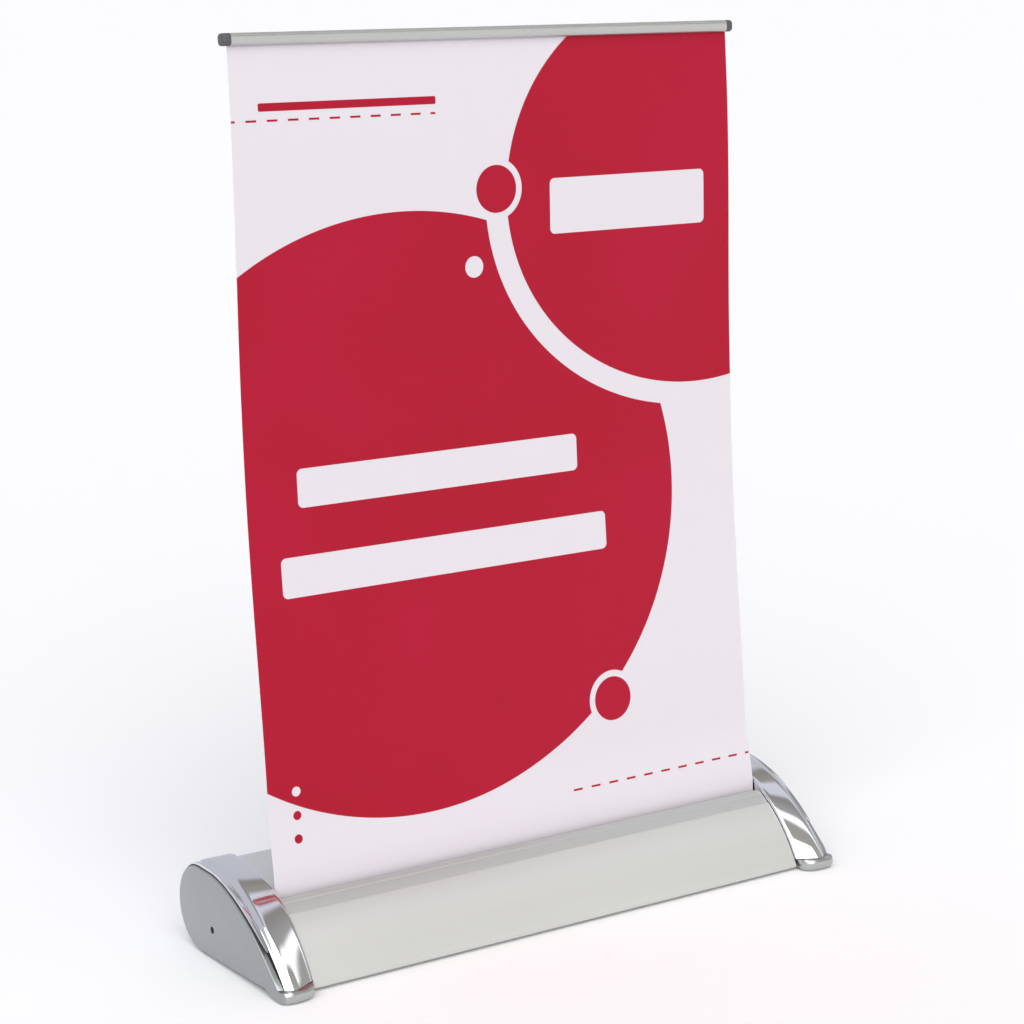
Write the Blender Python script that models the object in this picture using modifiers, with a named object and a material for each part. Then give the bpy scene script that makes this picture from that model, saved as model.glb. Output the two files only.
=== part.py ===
"""Small tabletop roll-up banner stand.

An aluminium cassette holds a spring roller with the printed film.  The film leaves a slot
in the top of the cassette and ends in a slim top rail.  A thin pole behind the film stands
in a socket in the cassette and carries the rail by a plastic clip.

Metres, +Z up, -Y is the printed front, X runs along the cassette.
The origin is on the table under the middle of the whole stand.
"""
import math

import bmesh
import bpy
from mathutils import Matrix, Vector

# ---------------------------------------------------------------- driving dimensions
FILM_WIDTH = 0.210                # an A4 sheet is 210 mm wide
FILM_LENGTH = 0.290               # film showing between the slot and the rail
FILM_THICK = 0.0004
LEAN = math.radians(4.7)          # the film and the pole lean back
SLOT_Y = -0.00515                 # where the line of the film crosses SLOT_Z
SLOT_Z = 0.0242
GAP = 0.0003                      # free space left between touching pieces

CAP_INNER_X = 0.1055              # inner face of the end caps
SIDE_X = 0.1200                   # outer face of the cover plates
PROFILE_HALF = CAP_INNER_X - GAP
WALL = 0.0013                     # wall of the aluminium profile
BOTTOM_Z = 0.0009                 # underside of the profile
PAD_HEIGHT = BOTTOM_Z - GAP

REAR_CENTRE = (0.02215, 0.0160)   # centre of the round back of the cassette
REAR_RADIUS = 0.0151
TOP_Z = 0.0312
SLOT_REAR_T = 0.31                # where the slot starts and ends along the front curve
SLOT_FRONT_T = 0.405

AXLE = (0.01315, 0.0111)          # y, z of the roller
AXLE_RADIUS = 0.0015
ROLLER_RADIUS = 0.0065
ROLLER_BORE = 0.0053
ROLL_RADIUS = 0.0078              # outside of the film wound on the roller
ROLLER_HALF = 0.1038

POLE_BEHIND = 0.0095              # from the film to the pole's axis
POLE_RADIUS = 0.0025
POLE_BORE = 0.0017
POLE_CLEAR = 0.00035

RAIL_HALF = 0.1043
RAIL_CAP_END = 0.1073
RAIL_DEPTH = 0.0046
RAIL_HEIGHT = 0.0043
RAIL_CORNER = 0.0014
RAIL_START = FILM_LENGTH + GAP    # underside of the rail, measured along the film
CHANNEL_HALF = 0.0008             # the rail's channel for the film and its clamp strip
CHANNEL_ROOF = 0.0014             # metal left above the channel
STRIP_HALF = 0.0005
STRIP_END_X = 0.0980
CLIP_OUTER = 0.0043
CLIP_HEIGHT = 0.0023
CLIP_ARM_HALF = 0.0030
CLIP_ARM_BACK = 0.0064            # the arm runs back into the ring around the pole

# distances along the pole, from the point level with the slot
SOCKET_OUTER = 0.0040
SOCKET_TOP = 0.0066
SOCKET_BASE = -0.0032
SOCKET_FLOOR = -0.0020
SOCKET_EDGE = 0.0003              # bevel around the socket's mouth
POLE_FOOT = SOCKET_FLOOR + GAP
POLE_TUBE_LOW = POLE_FOOT + 0.0020
POLE_TUBE_HIGH = RAIL_START + RAIL_HEIGHT - 0.0018
PLUG_STEM = 0.0080                # length of a plug inside its tube

SCREW_PLACES = ((0.02948, 0.02538), (0.0270, 0.0066), (-0.0242, 0.0053))
WEB_FEET = (None, 0.0024, 0.00155)  # height where a low screw channel's web meets the wall
WEB_HALF = 0.0009
BOSS_RADIUS = 0.0024
SCREW_RADIUS = 0.00095
SCREW_HOLE = 0.00125
SCREW_LENGTH = 0.0100
SCREW_TIP = 0.0008
HEAD_RADIUS = 0.0019
HEAD_HEIGHT = 0.0014

FRAME_WALL_X = 0.1080             # outer side of the wall that closes the profile
RIM_FULL_X = 0.1140               # from here outwards the rim keeps its outer section
RIM_END_X = 0.1194                # where the chrome rim ends beside the cover plate
RIM_WALL = 0.0017
RIM_ROUND = 0.0009                # how far the rim rolls in at its outer edge
PLATE_INNER_X = 0.1179
FOOT_INNER_X = 0.1062
POST_PLACES = ((0.0290, 0.0160), (-0.0130, 0.0130))
POST_RADIUS = 0.0015
COVER_HOLE = 0.0013
AXLE_BOSS_RADIUS = 0.0034
AXLE_BOSS_END = 0.1130
AXLE_END = 0.1125

PAD_X = 0.085
PAD_HALF = 0.008
PAD_FRONT_Y = 0.0130
PAD_REAR_Y = 0.0215

SPRING_ROD_END = -0.0180          # the spring's fixed rod starts in the left end cap
STUB_START = 0.0940
ANCHOR_RADIUS = 0.0045
ANCHOR_START = -0.0290
ANCHOR_END = -0.0200
SPRING_RADIUS = 0.0036
SPRING_WIRE = 0.0004
SPRING_TURNS = 13
SPRING_START = -0.0960
SPRING_END = -0.0300

COLOURS = {
    "satin aluminium": ((0.66, 0.67, 0.66), 0.35, 1.0),
    "chrome": ((0.72, 0.72, 0.75), 0.08, 1.0),
    "satin chrome": ((0.42, 0.44, 0.45), 0.30, 0.9),
    "steel": ((0.45, 0.45, 0.46), 0.35, 1.0),
    "dark plastic": ((0.05, 0.05, 0.055), 0.45, 0.0),
    "grey plastic": ((0.25, 0.25, 0.26), 0.50, 0.0),
    "film": ((0.80, 0.78, 0.80), 0.45, 0.0),
    "rubber": ((0.03, 0.03, 0.03), 0.80, 0.0),
}


# ---------------------------------------------------------------- scene helpers
for old in list(bpy.data.objects):
    bpy.data.objects.remove(old, do_unlink=True)

model = bpy.data.collections.new("rollup_banner_stand")
tools = bpy.data.collections.new("cutters")
bpy.context.scene.collection.children.link(model)
bpy.context.scene.collection.children.link(tools)


def material(kind):
    """One Principled material for each kind of surface."""
    if kind in bpy.data.materials:
        return bpy.data.materials[kind]
    colour, roughness, metallic = COLOURS[kind]
    made = bpy.data.materials.new(kind)
    made.use_nodes = True
    shader = made.node_tree.nodes["Principled BSDF"]
    shader.inputs["Base Color"].default_value = (*colour, 1.0)
    shader.inputs["Roughness"].default_value = roughness
    shader.inputs["Metallic"].default_value = metallic
    made.diffuse_color = (*colour, 1.0)
    return made


def add_empty(name, place, tilt=0.0):
    """A parent for pieces that move together, on their joint's axis."""
    empty = bpy.data.objects.new(name, None)
    empty.location = place
    empty.rotation_euler = (-tilt, 0.0, 0.0)
    model.objects.link(empty)
    return empty


def add_piece(name, mesh, kind, parent=None):
    """A named solid in the model's collection."""
    piece = bpy.data.objects.new(name, mesh)
    model.objects.link(piece)
    piece.parent = parent
    mesh.materials.clear()
    mesh.materials.append(material(kind))
    return piece


def finish(piece):
    """Round faces shaded smooth, edges kept sharp."""
    piece.data.shade_smooth()
    piece.data.set_sharp_from_angle(angle=math.radians(35))
    return piece


def hide_tool(tool):
    """A cutter or an added shape, left out of the model."""
    for home in list(tool.users_collection):
        home.objects.unlink(tool)
    tools.objects.link(tool)
    tool.display_type = "WIRE"
    tool.hide_render = True


def combine(piece, tool, operation):
    """Cut a tool out of a piece, or join it on."""
    hide_tool(tool)
    step = piece.modifiers.new(operation.lower(), "BOOLEAN")
    step.operation = operation
    step.solver = "EXACT"
    step.object = tool
    return piece


def cut(piece, *cutters):
    for cutter in cutters:
        combine(piece, cutter, "DIFFERENCE")
    return piece


def join(piece, *others):
    for other in others:
        combine(piece, other, "UNION")
    return piece


# ---------------------------------------------------------------- outlines in the Y-Z plane
def arc(centre, radius, start, end, steps):
    """Points on a circle, angles in degrees from +Y towards +Z."""
    points = []
    for i in range(steps + 1):
        angle = math.radians(start + (end - start) * i / steps)
        points.append((centre[0] + radius * math.cos(angle), centre[1] + radius * math.sin(angle)))
    return points


def bezier(controls, start, end, steps):
    """Points on a cubic curve between two of its parameters."""
    points = []
    for i in range(steps + 1):
        t = start + (end - start) * i / steps
        weights = ((1 - t) ** 3, 3 * t * (1 - t) ** 2, 3 * t * t * (1 - t), t ** 3)
        y = sum(w * c[0] for w, c in zip(weights, controls))
        z = sum(w * c[1] for w, c in zip(weights, controls))
        points.append((y, z))
    return points


def offset(points, distance):
    """An open outline moved to its left by a distance."""
    moved = []
    last = len(points) - 1
    for i, (y, z) in enumerate(points):
        before = Vector(points[max(i - 1, 0)])
        after = Vector(points[min(i + 1, last)])
        along = (after - before).normalized()
        moved.append((y - along.y * distance, z + along.x * distance))
    return moved


def slab(name, points, x_low, x_high, kind, parent=None, tilt=0.0, place=(0.0, 0.0)):
    """A flat outline in Y-Z, given its thickness along X, as a closed mesh."""
    curve = bpy.data.curves.new(name, "CURVE")
    curve.dimensions = "2D"
    curve.fill_mode = "BOTH"
    curve.extrude = (x_high - x_low) / 2
    curve.render_resolution_u = 0
    line = curve.splines.new("POLY")
    line.points.add(len(points) - 1)
    for point, (y, z) in zip(line.points, points):
        point.co = (y, z, 0.0, 1.0)
    line.use_cyclic_u = True
    drawn = bpy.data.objects.new(name + "_outline", curve)
    model.objects.link(drawn)
    upright = Matrix.Rotation(math.pi / 2, 4, "Z") @ Matrix.Rotation(math.pi / 2, 4, "X")
    lean = Matrix.Rotation(-tilt, 4, "X")
    shift = Matrix.Translation(((x_low + x_high) / 2, place[0], place[1]))
    drawn.matrix_world = shift @ lean @ upright
    bpy.context.view_layer.update()
    seen = drawn.evaluated_get(bpy.context.evaluated_depsgraph_get())
    mesh = bpy.data.meshes.new_from_object(seen)
    mesh.name = name
    mesh.transform(drawn.matrix_world)
    bpy.data.objects.remove(drawn, do_unlink=True)
    body = bmesh.new()
    body.from_mesh(mesh)
    bmesh.ops.remove_doubles(body, verts=body.verts, dist=1e-6)
    bmesh.ops.recalc_face_normals(body, faces=body.faces)
    body.to_mesh(mesh)
    body.free()
    return place_mesh(name, mesh, kind, parent)


def place_mesh(name, mesh, kind, parent):
    """Put a mesh made in world space under its parent without moving it."""
    if parent is not None:
        bpy.context.view_layer.update()
        mesh.transform(parent.matrix_world.inverted())
    return add_piece(name, mesh, kind, parent)


def rod(name, radius, x_low, x_high, centre, kind, parent=None, sides=24):
    """A round bar along X."""
    mesh = bpy.data.meshes.new(name)
    body = bmesh.new()
    turn = Matrix.Rotation(math.pi / 2, 4, "Y")
    middle = Matrix.Translation(((x_low + x_high) / 2, centre[0], centre[1]))
    bmesh.ops.create_cone(body, cap_ends=True, segments=sides, radius1=radius, radius2=radius,
                          depth=x_high - x_low, matrix=middle @ turn)
    body.to_mesh(mesh)
    body.free()
    return place_mesh(name, mesh, kind, parent)


def block(name, low, high, kind, parent=None):
    """A box between two corners."""
    mesh = bpy.data.meshes.new(name)
    body = bmesh.new()
    size = [high[i] - low[i] for i in range(3)]
    middle = [(high[i] + low[i]) / 2 for i in range(3)]
    bmesh.ops.create_cube(body, size=1.0, matrix=Matrix.Translation(middle) @ Matrix.Diagonal((*size, 1.0)))
    body.to_mesh(mesh)
    body.free()
    return place_mesh(name, mesh, kind, parent)


def turned(name, profile, kind, parent, closed=False, along_x=False, steps=32):
    """A shape turned about its local Z, or about X, from (radius, height) points, top first."""
    mesh = bpy.data.meshes.new(name)
    body = bmesh.new()
    dots = [body.verts.new((radius, 0.0, height)) for radius, height in profile]
    for first, second in zip(dots, dots[1:]):
        body.edges.new((first, second))
    if closed:
        body.edges.new((dots[-1], dots[0]))
    body.to_mesh(mesh)
    body.free()
    piece = add_piece(name, mesh, kind, parent)
    if along_x:
        piece.rotation_euler = (0.0, math.pi / 2, 0.0)
    spin = piece.modifiers.new("turn", "SCREW")
    spin.axis = "Z"
    spin.steps = steps
    spin.render_steps = steps
    spin.use_merge_vertices = True
    spin.merge_threshold = 0.00001
    spin.use_smooth_shade = True
    return piece


def ring_profile(outer, inner, low, high):
    """The section of a plain tube, for turned()."""
    return [(outer, high), (outer, low), (inner, low), (inner, high)]


def film_point(along, behind):
    """y, z of a point a distance up the film and a distance behind it."""
    y = SLOT_Y + along * math.sin(LEAN) + behind * math.cos(LEAN)
    z = SLOT_Z + along * math.cos(LEAN) - behind * math.sin(LEAN)
    return y, z


# ---------------------------------------------------------------- the cassette's outlines
PROFILE_FRONT = ((0.01485, TOP_Z), (-0.00715, TOP_Z), (-0.02235, 0.0188), (-0.03155, 0.0019))
RIM_REAR = (0.02145, 0.0170)
RIM_REAR_RADIUS = 0.0161
RIM_FRONT_INNER = ((0.01485, 0.0331), (-0.00815, 0.0325), (-0.02315, 0.0200), (-0.03195, 0.0022))
RIM_FRONT_OUTER = ((0.01485, 0.0331), (-0.00615, 0.0331), (-0.02630, 0.0158), (-0.03500, 0.0044))
PLATE_REAR = (0.02215, 0.0162)
PLATE_REAR_RADIUS = 0.0154
PLATE_FRONT = ((0.01485, 0.0317), (-0.00615, 0.0317), (-0.02515, 0.0150), (-0.03375, 0.0050))
NOSE_CENTRE = (-0.03495, 0.0026)
NOSE_RADIUS = 0.0026
FOOT_REAR_Y = -0.0279
FOOT_TOP_Z = 0.0042
KNEE = (-0.02135, 0.0008)


def profile_outline():
    """The C-shaped section of the aluminium profile, with the film slot near its top."""
    back = arc(REAR_CENTRE, REAR_RADIUS, -90, 90, 16) + bezier(PROFILE_FRONT, 0.0, SLOT_REAR_T, 5)
    outer = bezier(PROFILE_FRONT, SLOT_FRONT_T, 1.0, 9) + [(-0.0313, 0.0011), (-0.0305, BOTTOM_Z)] + back
    inner = offset(bezier(PROFILE_FRONT, SLOT_FRONT_T, 0.92, 8), WALL)
    inner += [(-0.0275, BOTTOM_Z + WALL)] + offset(back, WALL)
    rear_nose = bezier(PROFILE_FRONT, SLOT_REAR_T, SLOT_REAR_T + 0.012, 1)[1]
    rear_tip = [(rear_nose[0] + 0.0003, rear_nose[1] - WALL / 2)]
    front_lip = bezier(PROFILE_FRONT, SLOT_FRONT_T - 0.012, SLOT_FRONT_T, 1)[0]
    front_tip = [(front_lip[0] + 0.0003, front_lip[1] - WALL / 2)]
    return outer + rear_tip + inner[::-1] + front_tip


def rim_outline(front, toe_y, front_end=1.0):
    """An end cap's section: bottom from the toe, round back, top and sloping front."""
    points = [(toe_y, BOTTOM_Z), (0.0, BOTTOM_Z)]
    points += arc(RIM_REAR, RIM_REAR_RADIUS, -90, 90, 16)
    points += bezier(front, 0.0, front_end, 12)
    return points


def plate_outline(grow=0.0):
    """Outside of the cover plate, with the nose of its foot."""
    points = [(FOOT_REAR_Y, 0.0), KNEE]
    points += arc(PLATE_REAR, PLATE_REAR_RADIUS, -90, 90, 16)
    points += bezier(PLATE_FRONT, 0.0, 1.0, 10)
    points += arc(NOSE_CENTRE, NOSE_RADIUS, 135, 270, 6)
    if grow:
        points = [Vector(p) for p in points]
        centre = Vector((0.0, 0.0155))
        scale = [1 + grow / (p - centre).length for p in points]
        points = [tuple(centre + (p - centre) * s) for p, s in zip(points, scale)]
    return points


# ---------------------------------------------------------------- cassette
def make_profile():
    """The extruded aluminium cassette with screw channels and the pole's hole."""
    kind = "satin aluminium"
    profile = slab("cassette_profile", profile_outline(), -PROFILE_HALF, PROFILE_HALF, kind)
    for number, place in enumerate(SCREW_PLACES):
        join(profile, rod(f"boss_{number}", BOSS_RADIUS, -PROFILE_HALF, PROFILE_HALF, place, kind, sides=16))
    for number, (place, foot) in enumerate(zip(SCREW_PLACES, WEB_FEET)):
        if foot is not None:
            web_low = (-PROFILE_HALF, place[0] - WEB_HALF, foot)
            web_high = (PROFILE_HALF, place[0] + WEB_HALF, place[1])
            join(profile, block(f"boss_web_{number}", web_low, web_high, kind))
    for number, place in enumerate(SCREW_PLACES):
        cut(profile, rod(f"boss_bore_{number}", SCREW_HOLE, -SIDE_X, SIDE_X, place, kind, sides=12))
    wide = SOCKET_OUTER + GAP
    high, low = SOCKET_TOP + 0.0100, SOCKET_BASE - 0.0028
    shape = [(0.0, high), (wide, high), (wide, low), (0.0, low)]
    return cut(profile, turned("socket_hole", shape, kind, pole_home, steps=24))


def make_socket():
    """The plastic bush that the pole stands in."""
    bore = POLE_RADIUS + POLE_CLEAR
    shape = [(bore, SOCKET_TOP), (SOCKET_OUTER - SOCKET_EDGE, SOCKET_TOP),
             (SOCKET_OUTER, SOCKET_TOP - SOCKET_EDGE), (SOCKET_OUTER, SOCKET_BASE), (0.0, SOCKET_BASE)]
    inside = [(0.0, SOCKET_FLOOR), (bore, SOCKET_FLOOR)]
    return turned("pole_socket", inside + shape, "dark plastic", pole_home)


def loft(name, sections, kind):
    """A closed solid through outlines that stand at growing X."""
    mesh = bpy.data.meshes.new(name)
    body = bmesh.new()
    rings = [[body.verts.new((x, y, z)) for y, z in outline] for x, outline in sections]
    count = len(rings[0])
    for ring, following in zip(rings, rings[1:]):
        for i in range(count):
            j = (i + 1) % count
            body.faces.new((ring[i], ring[j], following[j], following[i]))
    body.faces.new(rings[0])
    body.faces.new(rings[-1])
    bmesh.ops.triangulate(body, faces=body.faces)
    bmesh.ops.recalc_face_normals(body, faces=body.faces)
    body.to_mesh(mesh)
    body.free()
    return add_piece(name, mesh, kind)


def shrink(points, inset):
    """A closed outline moved inwards; it runs anticlockwise seen from +X."""
    moved = []
    count = len(points)
    for i in range(count):
        before = Vector(points[i - 1])
        after = Vector(points[(i + 1) % count])
        along = (after - before).normalized()
        moved.append((points[i][0] - along.y * inset, points[i][1] + along.x * inset))
    return moved


def make_end_frame(side, sign):
    """Chrome end cap: a wall against the profile and a rim around the cover plate."""
    inner = rim_outline(RIM_FRONT_INNER, -0.0305)
    outer = rim_outline(RIM_FRONT_OUTER, -0.0335)
    levels = [(CAP_INNER_X, inner), (RIM_FULL_X, outer), (0.1172, shrink(outer, RIM_ROUND / 3)),
              (RIM_END_X, shrink(outer, RIM_ROUND))]
    sections = [(sign * x, outline) for x, outline in levels]
    frame = loft(side + "_end_frame", sections, "chrome")
    foot_x = sorted((sign * 0.1050, sign * 0.1250))
    cut(frame, block(side + "_foot_seat", (foot_x[0], -0.05, -0.01),
                     (foot_x[1], FOOT_REAR_Y + GAP, FOOT_TOP_Z + GAP), "chrome"))
    inner_space = shrink(rim_outline(RIM_FRONT_INNER, -0.0260, 0.90), RIM_WALL + 0.0003)
    outer_space = shrink(rim_outline(RIM_FRONT_OUTER, -0.0270, 0.92), RIM_WALL)
    hollow_levels = [(FRAME_WALL_X, inner_space), (RIM_FULL_X, outer_space), (0.1230, outer_space)]
    hollow = [(sign * x, outline) for x, outline in hollow_levels]
    cut(frame, loft(side + "_frame_hollow", hollow, "chrome"))
    seat_x = sorted((sign * (PLATE_INNER_X - GAP), sign * 0.1250))
    cut(frame, slab(side + "_plate_seat", plate_outline(GAP), seat_x[0], seat_x[1], "chrome"))
    boss_x = sorted((sign * (FRAME_WALL_X - 0.0010), sign * AXLE_BOSS_END))
    join(frame, rod(side + "_axle_boss", AXLE_BOSS_RADIUS, *boss_x, AXLE, "chrome", sides=20))
    hole_x = sorted((sign * 0.1000, sign * SIDE_X))
    axle_hole = AXLE_RADIUS + 0.00035
    cut(frame, rod(side + "_axle_hole", axle_hole, *hole_x, AXLE, "chrome", sides=20))
    for number, place in enumerate(SCREW_PLACES):
        cut(frame, rod(f"{side}_screw_hole_{number}", SCREW_HOLE, *hole_x, place, "chrome", sides=12))
    return finish(frame)


def make_cover(side, sign):
    """The flat cover plate, with its foot, snap posts and axle hole."""
    plate_x = sorted((sign * PLATE_INNER_X, sign * SIDE_X))
    plate = slab(side + "_cover_plate", plate_outline(), *plate_x, "satin chrome")
    foot = [(FOOT_REAR_Y, 0.0), (FOOT_REAR_Y, FOOT_TOP_Z)]
    foot += [(-0.0362, FOOT_TOP_Z)] + arc(NOSE_CENTRE, NOSE_RADIUS, 142, 270, 6)
    foot_x = sorted((sign * FOOT_INNER_X, sign * (PLATE_INNER_X + 0.0005)))
    join(plate, slab(side + "_foot", foot[::-1], *foot_x, "satin chrome"))
    post_x = sorted((sign * (FRAME_WALL_X + GAP), sign * (PLATE_INNER_X + 0.0005)))
    for number, place in enumerate(POST_PLACES):
        join(plate, rod(f"{side}_post_{number}", POST_RADIUS, *post_x, place, "satin chrome", sides=12))
    hole_x = sorted((sign * 0.1150, sign * 0.1250))
    return cut(plate, rod(side + "_cover_hole", COVER_HOLE, *hole_x, AXLE, "satin chrome", sides=16))


def make_screw(side, sign, number, place):
    """A pan-head screw through the end cap into a channel of the profile."""
    home = add_empty(f"{side}_screw_home_{number}", (0.0, place[0], place[1]))
    seat = FRAME_WALL_X + GAP
    top = seat + HEAD_HEIGHT
    tip = seat - SCREW_LENGTH
    shape = [(0.0, top), (HEAD_RADIUS - 0.0007, top), (HEAD_RADIUS, top - 0.0006), (HEAD_RADIUS, seat),
             (SCREW_RADIUS, seat), (SCREW_RADIUS, tip), (0.0, tip - SCREW_TIP)]
    screw = turned(f"{side}_frame_screw_{number + 1}", shape, "steel", home, along_x=True, steps=16)
    if sign < 0:
        screw.rotation_euler = (0.0, -math.pi / 2, 0.0)
    return screw


def make_pads():
    """Two rubber pads under the back of the profile."""
    for side, sign in SIDES:
        middle = sign * PAD_X
        block(side + "_rubber_pad", (middle - PAD_HALF, PAD_FRONT_Y, 0.0),
              (middle + PAD_HALF, PAD_REAR_Y, PAD_HEIGHT), "rubber")


# ---------------------------------------------------------------- roller and spring
def make_roller():
    """The tube that the film winds on, with its two end plugs and the wound film."""
    turned("roller_tube", ring_profile(ROLLER_RADIUS, ROLLER_BORE, -ROLLER_HALF, ROLLER_HALF),
           "satin aluminium", roller_home, closed=True, along_x=True)
    roll = FILM_WIDTH / 2 - GAP
    turned("film_roll", ring_profile(ROLL_RADIUS, ROLLER_RADIUS + GAP, -roll, roll), "film", roller_home,
           closed=True, along_x=True)
    bore = AXLE_RADIUS + GAP
    stem = ROLLER_BORE - GAP
    flange_low = ROLLER_HALF + GAP
    flange_high = flange_low + 0.0010
    stem_end = flange_low - 0.0070
    for side, sign in SIDES:
        shape = [(ROLLER_RADIUS, flange_high), (ROLLER_RADIUS, flange_low), (stem, flange_low),
                 (stem, stem_end), (bore, stem_end), (bore, flange_high)]
        plug = turned(side + "_roller_plug", shape, "grey plastic", roller_home, closed=True, along_x=True)
        if sign < 0:
            plug.rotation_euler = (0.0, -math.pi / 2, 0.0)


def make_spring_set():
    """The fixed rod with its anchor, the torsion spring around it, and the right stub axle."""
    rod("spring_rod", AXLE_RADIUS, -AXLE_END, SPRING_ROD_END, AXLE, "steel")
    rod("stub_axle", AXLE_RADIUS, STUB_START, AXLE_END, AXLE, "steel")
    anchor_home = add_empty("anchor_home", (0.0, AXLE[0], AXLE[1]))
    anchor = ring_profile(ANCHOR_RADIUS, AXLE_RADIUS + GAP, ANCHOR_START, ANCHOR_END)
    turned("spring_anchor", anchor, "grey plastic", anchor_home, closed=True, along_x=True, steps=20)
    curve = bpy.data.curves.new("torsion_spring", "CURVE")
    curve.dimensions = "3D"
    curve.bevel_depth = SPRING_WIRE
    curve.bevel_resolution = 2
    curve.use_fill_caps = True
    curve.render_resolution_u = 0
    line = curve.splines.new("POLY")
    per_turn = 12
    count = SPRING_TURNS * per_turn
    line.points.add(count)
    for i, point in enumerate(line.points):
        angle = 2 * math.pi * i / per_turn
        x = SPRING_START + (SPRING_END - SPRING_START) * i / count
        y = AXLE[0] + SPRING_RADIUS * math.cos(angle)
        point.co = (x, y, AXLE[1] + SPRING_RADIUS * math.sin(angle), 1.0)
    spring = bpy.data.objects.new("torsion_spring", curve)
    curve.materials.append(material("steel"))
    model.objects.link(spring)


def make_tail():
    """The film's run inside the cassette, from the roller's front up to the slot."""
    bend = Vector(film_point(0.0022, 0.0))
    to_axle = Vector(AXLE) - bend
    swing = math.asin((ROLL_RADIUS + FILM_THICK) / to_axle.length)
    angle = math.atan2(to_axle.y, to_axle.x) - swing
    along = Vector((math.cos(angle), math.sin(angle)))
    across = Vector((-along.y, along.x)) * FILM_THICK / 2
    first = bend + along * 0.0006
    last = bend + along * (math.sqrt(to_axle.length ** 2 - ROLL_RADIUS ** 2) - 0.0004)
    corners = [first - across, last - across, last + across, first + across]
    slab("inner_film_run", [tuple(c) for c in corners], -FILM_WIDTH / 2, FILM_WIDTH / 2, "film")


# ---------------------------------------------------------------- banner, rail and pole
def rail_outline():
    """The rail's section about its own middle: rounded, with a channel open below."""
    half_d = RAIL_DEPTH / 2
    half_h = RAIL_HEIGHT / 2
    right, high = half_d - RAIL_CORNER, half_h - RAIL_CORNER
    roof = half_h - CHANNEL_ROOF
    points = []
    for y, z, start in ((right, high, 0), (-right, high, 90), (-right, -high, 180)):
        points += arc((y, z), RAIL_CORNER, start, start + 90, 4)
    points += [(-CHANNEL_HALF, -half_h), (-CHANNEL_HALF, roof), (CHANNEL_HALF, roof)]
    points += [(CHANNEL_HALF, -half_h)]
    points += arc((right, -high), RAIL_CORNER, 270, 360, 4)
    return points


def make_rail():
    """The top rail, its clamp strip, its two end caps and the clip that rides on the pole."""
    middle = film_point(RAIL_START + RAIL_HEIGHT / 2, 0.0)
    slab("top_rail", rail_outline(), -RAIL_HALF, RAIL_HALF, "satin aluminium", rail_home, LEAN, middle)
    strip_low, strip_high = -0.0018, 0.0003
    strip = [(-STRIP_HALF, strip_low), (STRIP_HALF, strip_low), (STRIP_HALF, strip_high),
             (-STRIP_HALF, strip_high)]
    slab("film_clamp_strip", strip, -STRIP_END_X, STRIP_END_X, "grey plastic", rail_home, LEAN, middle)
    full = [p for p in rail_outline() if abs(p[0]) > CHANNEL_HALF * 1.05]
    for side, sign in SIDES:
        cap_x = sorted((sign * (RAIL_HALF + GAP), sign * RAIL_CAP_END))
        cap = slab(side + "_rail_cap", full, *cap_x, "dark plastic", rail_home, LEAN, middle)
        stem_x = sorted((sign * (STRIP_END_X + 0.0005), sign * (RAIL_HALF + 2 * GAP)))
        stem = slab(side + "_rail_cap_stem", strip, *stem_x, "dark plastic", rail_home, LEAN, middle)
        join(cap, stem)


def make_clip():
    """A ring around the pole on an arm that hooks behind the rail."""
    high = RAIL_START + RAIL_HEIGHT
    low = high - CLIP_HEIGHT
    ring = ring_profile(CLIP_OUTER, POLE_RADIUS + POLE_CLEAR, low, high)
    clip = turned("pole_clip", ring, "dark plastic", pole_axis_on_rail, closed=True, steps=28)
    arm_low = (-CLIP_ARM_HALF, RAIL_DEPTH / 2 + GAP, low - 0.0007)
    arm = block("clip_arm", arm_low, (CLIP_ARM_HALF, CLIP_ARM_BACK, high), "dark plastic")
    arm.parent = rail_home
    arm.matrix_parent_inverse = Matrix.Identity(4)
    return join(clip, arm)


def make_film():
    """The stretch of printed film between the slot and the rail."""
    low, high = 0.0026, FILM_LENGTH
    half = FILM_THICK / 2
    corners = [(-half, low), (half, low), (half, high), (-half, high)]
    slab("banner_film", corners, -FILM_WIDTH / 2, FILM_WIDTH / 2, "film", rail_home, LEAN, (SLOT_Y, SLOT_Z))


def make_pole():
    """The pole tube with a plug in each end."""
    tube = ring_profile(POLE_RADIUS, POLE_BORE, POLE_TUBE_LOW, POLE_TUBE_HIGH)
    turned("pole_tube", tube, "satin aluminium", pole_home, closed=True, steps=24)
    stem = POLE_BORE - GAP
    inside = POLE_TUBE_LOW + PLUG_STEM
    foot = [(0.0, inside), (stem, inside), (stem, POLE_TUBE_LOW - GAP),
            (POLE_RADIUS, POLE_TUBE_LOW - GAP), (POLE_RADIUS, POLE_FOOT + 0.0004),
            (POLE_RADIUS - 0.0004, POLE_FOOT), (0.0, POLE_FOOT)]
    turned("pole_foot_plug", foot, "dark plastic", pole_home, steps=24)
    crown = POLE_TUBE_HIGH + GAP
    top = [(0.0, crown + 0.0012), (0.0014, crown + 0.0011), (POLE_RADIUS, crown + 0.0002),
           (POLE_RADIUS, crown), (stem, crown), (stem, crown - PLUG_STEM), (0.0, crown - PLUG_STEM)]
    turned("pole_top_plug", top, "dark plastic", pole_home, steps=24)


# ---------------------------------------------------------------- assembly
SIDES = (("left", -1.0), ("right", 1.0))

roller_home = add_empty("roller_home", (0.0, AXLE[0], AXLE[1]))
pole_home = add_empty("pole_home", (0.0, *film_point(0.0, POLE_BEHIND)), LEAN)
rail_home = add_empty("rail_home", (0.0, SLOT_Y, SLOT_Z), LEAN)
pole_axis_on_rail = add_empty("pole_axis_on_rail", (0.0, *film_point(0.0, POLE_BEHIND)), LEAN)
bpy.context.view_layer.update()

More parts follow.
